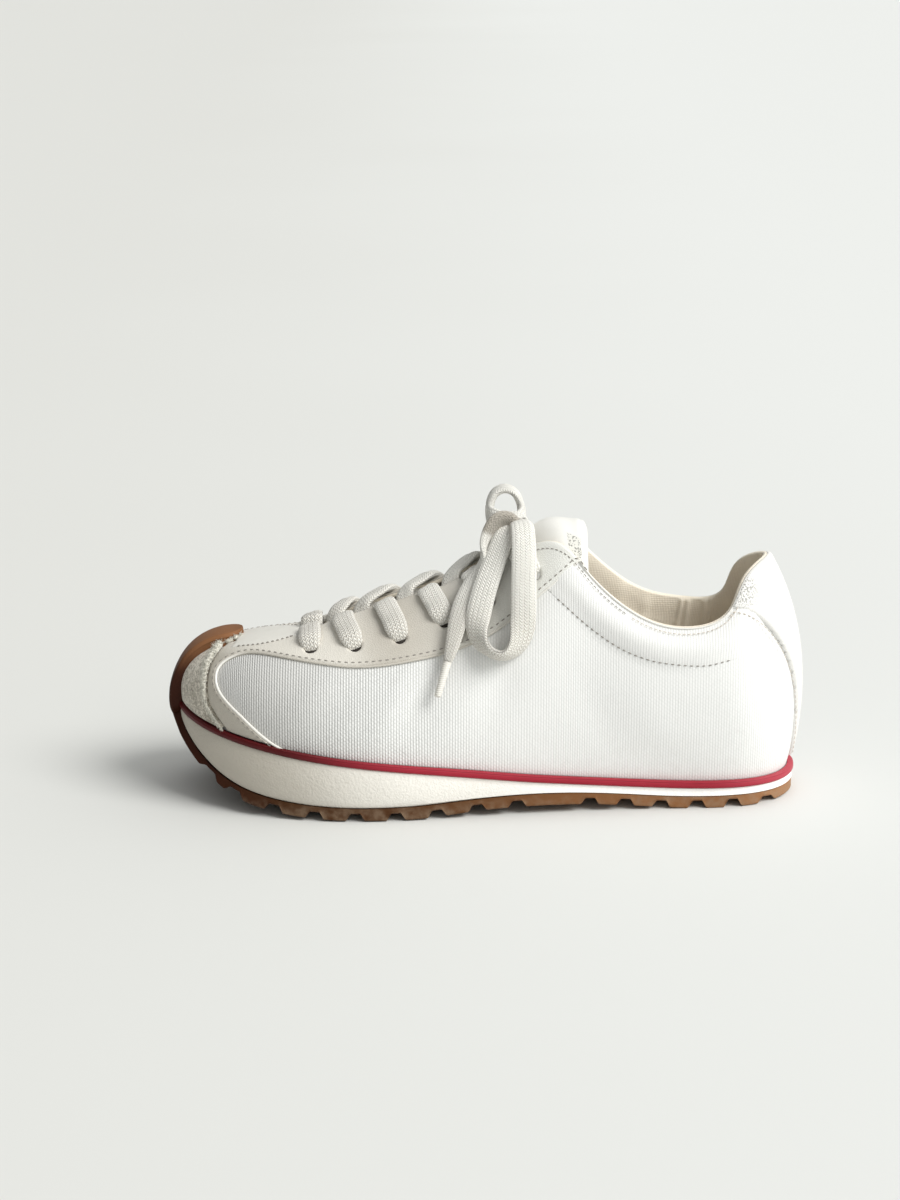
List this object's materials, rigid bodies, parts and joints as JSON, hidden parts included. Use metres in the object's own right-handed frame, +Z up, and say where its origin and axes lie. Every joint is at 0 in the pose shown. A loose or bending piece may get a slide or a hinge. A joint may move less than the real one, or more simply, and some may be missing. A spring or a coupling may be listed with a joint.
{
  "type": "sneaker",
  "caption": "Low laced canvas sneaker with leather facings, suede toe cap, foam sole, red foxing tape and lugged gum outsole, left shoe.",
  "frame": {"origin": "on the floor, under the middle of the shoe's bounding box", "axes": "+X towards the toe, +Y towards the outer (lateral) side, +Z up"},
  "size_m": [0.2661, 0.0934, 0.1244],
  "materials": {
    "outsole": "matt gum rubber",
    "midsole": "matt off-white foam",
    "sole_tape": "semi-matt dark red rubber",
    "upper": "woven white canvas",
    "insole": "beige textile",
    "tongue": "padded off-white textile",
    "facing_guard": "smooth greige leather",
    "toe_cap": "light grey suede",
    "heel_counter": "smooth white leather",
    "lace": "woven cream cotton",
    "aglet": "translucent wrap"
  },
  "bodies": {
    "root": {"outsole": "outsole", "midsole": "midsole", "sole_tape": "sole_tape", "upper": "upper", "insole": "insole", "tongue": "tongue", "facing_guard": "facing_guard", "toe_cap": "toe_cap", "heel_counter": "heel_counter", "lace_bar_front": "lace", "lace_cross_2": "lace", "lace_cross_3": "lace", "lace_cross_4": "lace", "lace_cross_5": "lace", "lace_cross_6": "lace", "lace_knot": "lace", "lace_loop_outer": "lace", "lace_loop_inner": "lace", "lace_end_outer": "lace", "lace_end_inner": "lace", "aglet_outer": "aglet", "aglet_inner": "aglet"}
  },
  "joints": []
}
